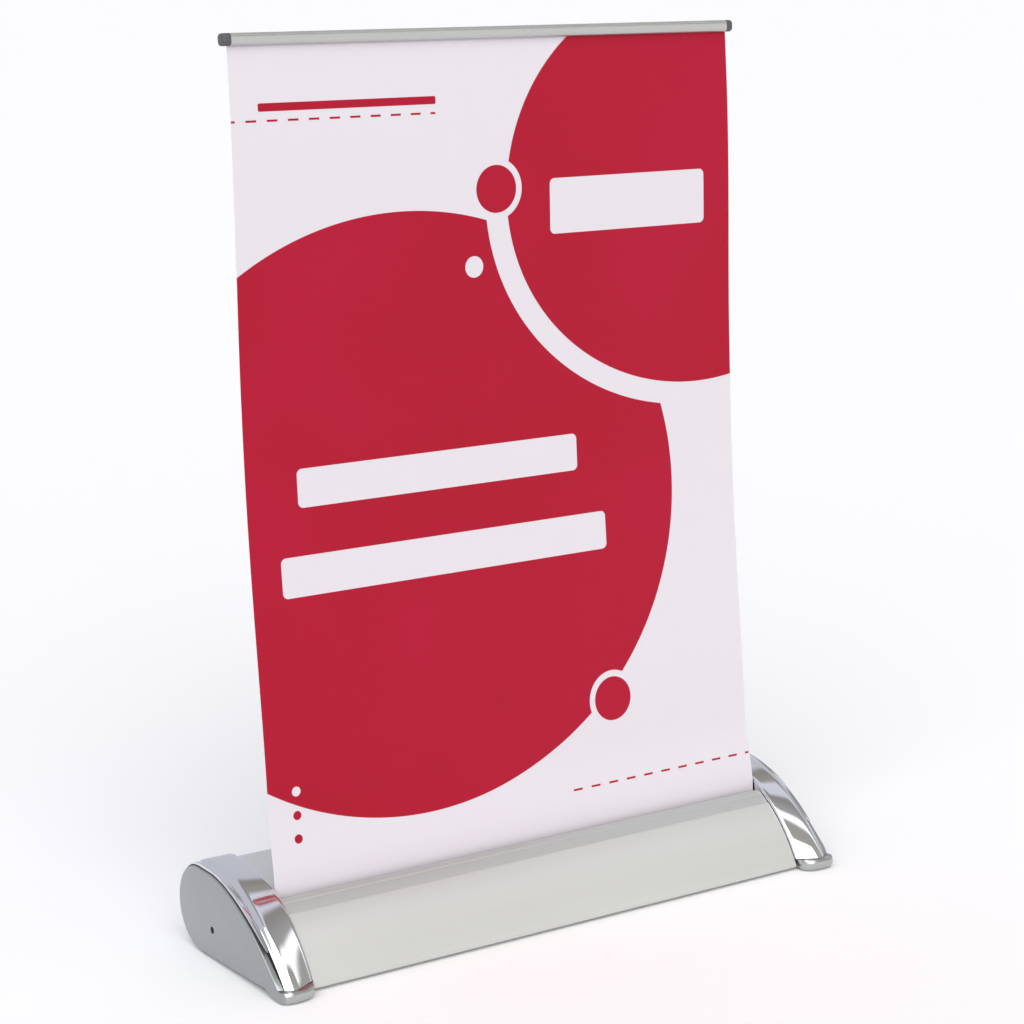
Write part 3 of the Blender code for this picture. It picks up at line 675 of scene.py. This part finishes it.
# x, how far back and how far up: the foot from the plate to its rounded inner end
FOOT_SECTION = ((0.1190, 0.0011, 0.0), (0.1179, 0.0004, 0.0), (0.1160, 0.0, 0.0), (0.1120, 0.0001, 0.0),
                (0.1100, 0.0005, 0.0), (0.1085, 0.0012, 0.0), (0.1075, 0.0021, 0.0002),
                (0.1067, 0.0033, 0.0006), (0.1063, 0.0042, 0.0011), (0.1062, 0.0046, 0.0014))
FOOT_FRONT_Y = -0.0355


def band_outline(front):
    """The end cap's section with its foot's space already left out of the toe."""
    points = [(BAND_FOOT_Y, BAND_HEEL_Z), (BAND_BELLY_Y, BAND_HEEL_Z - 0.0002),
              (BAND_REAR_Y, BOTTOM_Z + 0.0001)]
    points += arc(RIM_REAR, RIM_REAR_RADIUS, -90, 90, 40)
    low, high = 0.5, 1.0
    for _ in range(30):
        middle = (low + high) / 2
        if bezier_point(front, middle)[1] > BAND_FOOT_Z:
            low = middle
        else:
            high = middle
    return points + bezier(front, 0.0, low, 44) + [(BAND_FOOT_Y, BAND_FOOT_Z)]


def band_inset(points, depth):
    """The band's outline moved in, less at the back, with the two corners over the foot kept in place."""
    moved = []
    for before, after in zip(points, inset(points, depth)):
        moved.append(between(before, after, 1.0 - 0.75 * share_of(before[0], BACK_START, BACK_LENGTH)))
    toe = points[-2]
    along = (Vector(points[-3]) - Vector(toe)).normalized()
    lean = along.x / max(along.y, 1e-6)
    moved[-2] = (toe[0] + depth * math.sqrt(1 + lean * lean), BAND_FOOT_Z)
    moved[-1] = points[-1]
    moved[0] = (points[0][0], BAND_HEEL_Z)
    return moved


def seat_outline():
    """The plate's outline with the groove around it, wider towards the toe."""
    edge = plate_outline()
    seat = []
    for near, far in zip(inset(edge, -GROOVE), inset(edge, -GROOVE_AT_TOE)):
        seat.append(between(near, far, share_of(-near[0], -BACK_START, GROOVE_LENGTH) ** 1.5))
    return seat


def make_end_frame(side, sign):
    """Chrome end cap: crowned band with a rounded edge, a bead and the groove around the plate, its inside
    painted dark as shade.
    """
    inner = band_outline(RIM_FRONT_INNER)
    outer = band_outline(RIM_FRONT_OUTER)
    rings = []
    for x, depth in RIM_SECTION:
        flare = share_of(x, CAP_INNER_X, FLARE_END_X - CAP_INNER_X)
        outline = [between(first, second, flare) for first, second in zip(inner, outer)]
        rings.append([(sign * x, y, z) for y, z in band_inset(outline, depth)])
    cap = loft(side + "_chrome_cap", rings, 40)
    # the groove's cut faces take the dark plastic: painted shade deep in the groove around the plate
    paint(cap, CHROME, DARK_PLASTIC_AND_GROOVE_SHADE)
    seat = [[(sign * x, y, z) for y, z in seat_outline()] for x in (PLATE_INNER_X - 0.0003, SEAT_PAST)]
    cut(cap, paint(loft(side + "_seat", seat), DARK_PLASTIC_AND_GROOVE_SHADE))
    place(cap, "cassette", "chrome", side + "_end_frame")


def toe_round(points, back):
    """The plate's nose moved back, so that its outer corner is rounded seen from above."""
    moved = []
    for y, z in points:
        share = share_of(-y, 0.0300, 0.0060) * share_of(-z, -0.0100, 0.0060)
        moved.append((y + back * share, z))
    return moved


def make_cover(side, sign):
    """Cover plate with a softly rounded border and its axle hole."""
    rings = []
    for x, depth, back in PLATE_SECTION:
        rings.append([(sign * x, y, z) for y, z in toe_round(inset(plate_outline(), depth), back)])
    plate = loft(side + "_cover", rings, 40)
    drill = [(0.0, 0.01), (AXLE_HOLE_RADIUS, 0.01), (AXLE_HOLE_RADIUS, -0.01), (0.0, -0.01)]
    cut(plate, turned(side + "_hole", drill, (sign * 0.119, *AXLE), (1, 0, 0), 32))
    place(paint(plate, SATIN_CHROME), "cassette", "satin_chrome", side + "_cover_plate")


def make_foot(side, sign):
    """The plate's foot at the toe, with a rounded nose and a rounded inner end, in a lighter copy of the
    satin chrome as painted light.
    """
    rings = []
    for x, back, lift in FOOT_SECTION:
        top_z = FOOT_TOP_Z - lift / 2
        outline = [(FOOT_REAR_Y, lift), (FOOT_REAR_Y, top_z), (FOOT_FRONT_Y + back, top_z + 0.0001)]
        outline += [(y + back, max(z, lift)) for y, z in arc(NOSE, NOSE_RADIUS, 135, 270, 14)]
        rings.append([(sign * x, y, z) for y, z in outline])
    foot = loft(side + "_foot", rings, 40)
    # the foot takes the lighter copy of the satin chrome: painted light
    place(paint(foot, FOOT_LIT_CHROME), "cassette", "satin_chrome")


def rounded_box(left, right, front, back, z, radius):
    """A rectangle with round corners at a height."""
    points = []
    for x, y, start in ((right - radius, back - radius, 0), (left + radius, back - radius, 90),
                        (left + radius, front + radius, 180), (right - radius, front + radius, 270)):
        points += [(a, b, z) for a, b in arc((x, y), radius, start, start + 90, 6)]
    return points


def make_pads():
    """Rubber pads under the back, drawn in a little at their lower edge."""
    for side, _ in SIDES:
        low, high = (Vector(corner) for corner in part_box(side + "_rubber_pad"))
        rings = []
        for z, grow in ((low.z, -0.0004), (low.z + 0.00012, -0.0001), (low.z + 0.0003, 0.0), (high.z, 0.0)):
            rings.append(rounded_box(low.x - grow, high.x + grow, low.y - grow, high.y + grow, z, 0.0022))
        pad = loft(side + "_pad", rings)
        place(paint(pad, RUBBER), "cassette", "rubber", side + "_rubber_pad")


# ---------------------------------------------------------------- film, rail and pole
def bow(along):
    """How far the film hangs back at a distance up it."""
    share = (along / FILM_LENGTH - BOW_MIDDLE) / BOW_REACH
    return BOW * math.cos(math.pi / 2 * share) ** 2 if abs(share) < 1 else 0.0


def belly(along, across):
    """How far the foot of the film leans further back from the slot's line, more towards the right."""
    rise = eased(share_of(along, BELLY_START, BELLY_RISE))
    fade = eased(share_of(-along, -BELLY_END, BELLY_FADE))
    return (BELLY_LEFT + BELLY_MORE * across) * rise * fade


def fill_film(body):
    """A sheet of two layers closed along its four edges, with its own lengths as UVs."""
    columns, rows = 56, 150
    uv = body.loops.layers.uv.new("film_mm")

    def along_at(j):
        return FILM_LOW + (FILM_HIGH - FILM_LOW) * j / rows

    layers = []
    for behind in (-FILM_THICK / 2, FILM_THICK / 2):
        grid = []
        for j in range(rows + 1):
            along = along_at(j)
            row = []
            for i in range(columns + 1):
                x = FILM_WIDTH * (i / columns - 0.5)
                hang = bow(along) + belly(along, i / columns)
                row.append(body.verts.new((x, *film_point(along, hang + behind))))
            grid.append(row)
        layers.append(grid)

    def face(*corners):
        made = body.faces.new([layers[layer][j][i] for layer, j, i in corners])
        for loop, (_, j, i) in zip(made.loops, corners):
            loop[uv].uv = (i / columns, along_at(j) / FILM_LENGTH)

    for j in range(rows):
        for i in range(columns):
            square = ((j, i), (j, i + 1), (j + 1, i + 1), (j + 1, i))
            face(*[(0, *corner) for corner in square])
            face(*[(1, *corner) for corner in square[::-1]])
    for j in range(rows):
        face((0, j, 0), (0, j + 1, 0), (1, j + 1, 0), (1, j, 0))
        face((0, j, columns), (1, j, columns), (1, j + 1, columns), (0, j + 1, columns))
    for i in range(columns):
        face((0, 0, i), (1, 0, i), (1, 0, i + 1), (0, 0, i + 1))
        face((0, rows, i), (0, rows, i + 1), (1, rows, i + 1), (1, rows, i))


def make_film():
    """The film as a thin sheet, printed in front and plain behind, that rides with the rail."""
    film = new_mesh("printed_banner", fill_film, 60)
    paint(film, FILM_FRONT, FILM_BACK)
    for face in film.data.polygons:
        face.material_index = int(face.normal.y > -0.5)
    place(film, "rail", "film", "banner_film")
    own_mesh(film)


def make_inner_run():
    """The film between the roller and the slot, up to where the shut banner starts."""
    bend = Vector(film_point(0.0))
    to_axle = Vector(AXLE) - bend
    swing = math.asin(ROLL_RADIUS / to_axle.length)
    angle = math.atan2(to_axle.y, to_axle.x) - swing
    to_roll = Vector((math.cos(angle), math.sin(angle))) * math.sqrt(to_axle.length ** 2 - ROLL_RADIUS ** 2)
    path = [tuple(bend + to_roll * (1 - i / 12)) for i in range(13)]
    path += [film_point(FILM_SHUT * i / 6, RUN_BEHIND * i / 6) for i in range(1, 7)]
    near = inset(path, FILM_THICK / 2, closed=False)
    far = inset(path, -FILM_THICK / 2, closed=False)
    section = near + far[::-1]
    rings = [[(FILM_WIDTH * (i / 40 - 0.5), y, z) for y, z in section] for i in range(41)]
    run = loft("inner_run", rings, 60)
    place(paint(run, FILM_BACK), "cassette", "film", "inner_film_run")


def rail_section():
    """The rail's section about its middle: rounded, with a channel open below."""
    across, up = RAIL_DEPTH / 2 - RAIL_CORNER, RAIL_HEIGHT / 2 - RAIL_CORNER
    points = []
    for y, z, start in ((across, up, 0), (-across, up, 90), (-across, -up, 180)):
        points += arc((y, z), RAIL_CORNER, start, start + 90, 10)
    floor, roof = -RAIL_HEIGHT / 2, RAIL_HEIGHT / 2 - RAIL_ROOF
    points += [(-RAIL_CHANNEL, floor), (-RAIL_CHANNEL, roof), (RAIL_CHANNEL, roof), (RAIL_CHANNEL, floor)]
    return points + arc((across, -up), RAIL_CORNER, 270, 360, 10)


def on_rail(x, point):
    """A point of the rail's section, placed at the top of the film."""
    middle = RAIL_START + RAIL_HEIGHT / 2
    return (x, *film_point(middle + point[1], point[0]))


def make_rail():
    """The top rail and the plastic caps on its ends."""
    rings = [[on_rail(x, point) for point in rail_section()] for x in (-RAIL_HALF, RAIL_HALF)]
    rail = loft("rail_profile", rings, 40)
    place(paint(rail, RAIL_ALUMINIUM), "rail", "satin_aluminium", "top_rail")
    full = [point for point in rail_section() if abs(point[0]) > 1.25 * RAIL_CHANNEL]
    for side, sign in SIDES:
        ends = ((RAIL_HALF + 0.0001, 0.0), (RAIL_CAP_END - 0.0008, 0.0), (RAIL_CAP_END - 0.0003, 0.0002),
                (RAIL_CAP_END, 0.0007))
        rings = [[on_rail(sign * x, point) for point in inset(full, depth)] for x, depth in ends]
        cap = loft(side + "_rail_end", rings, 40)
        place(paint(cap, RAIL_CAP_PLASTIC), "rail", "dark_plastic", side + "_rail_cap")


def make_clip():
    """The plastic ring around the pole and the arm that hooks behind the rail."""
    high = RAIL_START + RAIL_HEIGHT
    low = high - CLIP_HEIGHT
    outside, rim, inside = CLIP_RADIUS, CLIP_RADIUS - 0.0003, POLE_FIT + 0.00015
    shape = [(outside, high - 0.0003), (outside, low + 0.0003), (rim, low), (inside, low),
             (POLE_FIT, low + 0.0002), (POLE_FIT, high - 0.0002), (inside, high), (rim, high)]
    ring = turned("clip_ring", shape, POLE_BASE, AXIS, closed=True)
    place(paint(ring, DARK_PLASTIC_AND_GROOVE_SHADE), "rail", "dark_plastic", "pole_clip")
    rail_back = RAIL_DEPTH / 2
    rings = []
    for behind, half, drop in ((rail_back + 0.00005, 0.0036, 0.0009), (rail_back + 0.0009, 0.0032, 0.0007),
                               (0.0050, 0.0026, 0.0), (0.0062, 0.0026, 0.0)):
        corners = ((-half, low - drop), (half, low - drop), (half, high), (-half, high))
        rings.append([(x, *film_point(along, behind)) for x, along in corners])
    arm = apply_bevel(loft("clip_arm", rings), 0.0003)
    place(paint(arm, DARK_PLASTIC_AND_GROOVE_SHADE), "rail", "dark_plastic")


def pole_ends():
    """Distances up the pole's axis, from its base, of the CAD pole's lower and upper end."""
    low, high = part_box("pole_tube")
    tilt = POLE_RADIUS * math.sin(LEAN)
    return [(height - POLE_BASE[2]) / math.cos(LEAN) for height in (low[2] + tilt, high[2] - tilt)]


# (radius, height) around the pole: the socket with its low flange on the cassette
SOCKET_SHAPE = ((POLE_FIT, 0.0061), (0.00295, 0.0064), (0.00315, 0.0066), (0.0037, 0.0066),
                (0.0040, 0.0065), (0.0042, 0.0062), (0.0042, 0.0060), (0.0040, 0.0058),
                (0.0040, -0.0032), (0.0036, -0.0032), (POLE_FIT, -0.0020))


def make_pole():
    """The drawn tube and the socket in the cassette."""
    low, high = pole_ends()
    edge, inside = POLE_CHAMFER, POLE_BORE
    tube = [(POLE_RADIUS, high - edge), (POLE_RADIUS, low + edge), (POLE_RADIUS - edge, low),
            (inside + edge, low), (inside, low + edge), (inside, high - edge), (inside + edge, high),
            (POLE_RADIUS - edge, high)]
    pole = turned("drawn_pole", tube, POLE_BASE, AXIS, 64, closed=True)
    place(paint(pole, POLE_ALUMINIUM), "pole", "satin_aluminium", "pole_tube")
    bush = turned("socket_bush", SOCKET_SHAPE, POLE_BASE, AXIS, 56, closed=True)
    place(paint(bush, DARK_PLASTIC_AND_GROOVE_SHADE), "cassette", "dark_plastic", "pole_socket")


CARRIED = {
    "spring_rod": STEEL, "stub_axle": STEEL, "torsion_spring": STEEL, "spring_anchor": GREY_PLASTIC,
    "roller_tube": ALUMINIUM, "left_roller_plug": GREY_PLASTIC, "right_roller_plug": GREY_PLASTIC,
    "film_roll": FILM_BACK, "film_clamp_strip": GREY_PLASTIC,
    "pole_foot_plug": DARK_PLASTIC_AND_GROOVE_SHADE, "pole_top_plug": DARK_PLASTIC_AND_GROOVE_SHADE,
}


def paint_carried():
    """Finish the CAD nodes that are shown as they are."""
    finishes = dict(CARRIED)
    for side, _ in SIDES:
        for number in (1, 2, 3):
            finishes[f"{side}_frame_screw_{number}"] = STEEL
    for node, finish in finishes.items():
        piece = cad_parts[node]
        if not piece.data.materials:
            piece.data.materials.append(finish)
        for slot in piece.material_slots:
            slot.material = finish


# ---------------------------------------------------------------- stage
FLOOR_RADIUS = 40.0
# colour of the studio sky by height, from level behind the stand (0) over the top to level before it (1)
SKY_STOPS = ((0.0, (0.66, 0.67, 0.74)), (0.29, (0.66, 0.67, 0.74)), (0.33, (0.34, 0.32, 0.29)),
             (0.385, (0.40, 0.38, 0.35)), (0.41, (0.84, 0.85, 0.95)), (0.47, (0.82, 0.82, 0.92)),
             (0.50, (0.34, 0.33, 0.31)), (0.585, (0.44, 0.44, 0.43)), (0.612, (1.70, 1.70, 1.70)),
             (0.632, (1.60, 1.60, 1.60)), (0.655, (0.44, 0.43, 0.40)), (0.82, (0.58, 0.56, 0.49)),
             (0.90, (0.98, 0.98, 0.97)), (1.0, (1.12, 1.12, 1.12)))
SKY_STRENGTH = 0.99
BELT_MIDDLE_X = 0.55                # the sky's belts are straight here
BELT_BEND = 0.20                    # and sink to both sides of it
KEY_FROM = (-0.45, -0.62, 0.64)
KEY_ENERGY = 2.13
KEY_ANGLE = math.radians(70)
CAMERA_PLACE = (-0.530, -0.77415, 0.3542)
CAMERA_TURN = math.radians(34.21)
CAMERA_DOWN = math.radians(10.29)
CAMERA_LENS = 94.5
CAMERA_SENSOR = 36.0
CAMERA_SHIFT = -0.1006


def stage_material():
    """Matt off-white."""
    made = Nodes("pale_floor")
    cloud = made.noise(3.0)
    made.link(made.mix(cloud, (0.93, 0.93, 0.93), (0.94, 0.94, 0.94)), made.shader.inputs["Base Color"])
    made.fixed(Roughness=0.85, Specular_IOR_Level=0.2)
    return made.material


def make_stage():
    """A wide pale floor."""
    def build(body):
        bmesh.ops.create_circle(body, cap_ends=True, segments=64, radius=FLOOR_RADIUS)
    floor = new_mesh("floor", build)
    paint(floor, stage_material())


def background(tree, strength):
    """A Background node of a given strength."""
    made = tree.nodes.new("ShaderNodeBackground")
    made.inputs["Strength"].default_value = strength
    return made


def make_world():
    """Plain white for the camera; for light and reflections, a studio with soft darker belts."""
    world = bpy.data.worlds.new("studio")
    bpy.context.scene.world = world
    world.use_nodes = True
    tree = world.node_tree
    tree.nodes.clear()
    link = tree.links.new
    coordinates = tree.nodes.new("ShaderNodeTexCoord")
    parts = tree.nodes.new("ShaderNodeSeparateXYZ")
    link(coordinates.outputs["Generated"], parts.inputs["Vector"])
    turn = math_node(tree, "ARCTAN2", parts.outputs["Z"], parts.outputs["Y"])
    level = math_node(tree, "DIVIDE", turn, math.pi)
    aside = math_node(tree, "SUBTRACT", parts.outputs["X"], BELT_MIDDLE_X)
    bend = math_node(tree, "MULTIPLY", math_node(tree, "MULTIPLY", aside, aside), BELT_BEND)
    ramp = tree.nodes.new("ShaderNodeValToRGB")
    ramp.color_ramp.interpolation = "EASE"
    elements = ramp.color_ramp.elements
    while len(elements) < len(SKY_STOPS):
        elements.new(0.5)
    for element, (position, colour) in zip(elements, SKY_STOPS):
        element.position = position
        element.color = (*colour, 1.0)
    link(math_node(tree, "SUBTRACT", level, bend), ramp.inputs["Fac"])
    studio = background(tree, SKY_STRENGTH)
    link(ramp.outputs["Color"], studio.inputs["Color"])
    plain = background(tree, 1.0)
    plain.inputs["Color"].default_value = (1.0, 1.0, 1.0, 1.0)
    path = tree.nodes.new("ShaderNodeLightPath")
    choose = tree.nodes.new("ShaderNodeMixShader")
    link(path.outputs["Is Camera Ray"], choose.inputs["Fac"])
    link(studio.outputs["Background"], choose.inputs[1])
    link(plain.outputs["Background"], choose.inputs[2])
    output = tree.nodes.new("ShaderNodeOutputWorld")
    link(choose.outputs["Shader"], output.inputs["Surface"])


def make_lights():
    """The studio sky and one broad, soft key light from the front left."""
    bpy.context.scene.view_settings.view_transform = "Standard"
    make_world()
    sun = bpy.data.lights.new("key", "SUN")
    sun.energy = KEY_ENERGY
    sun.angle = KEY_ANGLE
    lamp = bpy.data.objects.new("key", sun)
    bpy.context.scene.collection.objects.link(lamp)
    lamp.rotation_euler = Vector(KEY_FROM).to_track_quat("Z", "Y").to_euler()


def make_camera():
    """A long lens from the left and slightly above."""
    data = bpy.data.cameras.new("camera")
    data.sensor_width = CAMERA_SENSOR
    data.lens = CAMERA_LENS
    data.shift_y = CAMERA_SHIFT
    data.clip_start = 0.01
    camera = bpy.data.objects.new("camera", data)
    bpy.context.scene.collection.objects.link(camera)
    camera.location = CAMERA_PLACE
    camera.rotation_euler = (math.pi / 2 - CAMERA_DOWN, 0.0, -CAMERA_TURN)
    bpy.context.scene.camera = camera


make_camera()
make_lights()
make_stage()
make_cassette()
for side_name, side_sign in SIDES:
    make_end_frame(side_name, side_sign)
    make_cover(side_name, side_sign)
    make_foot(side_name, side_sign)
make_pads()
make_film()
make_inner_run()
make_rail()
make_clip()
make_pole()
paint_carried()
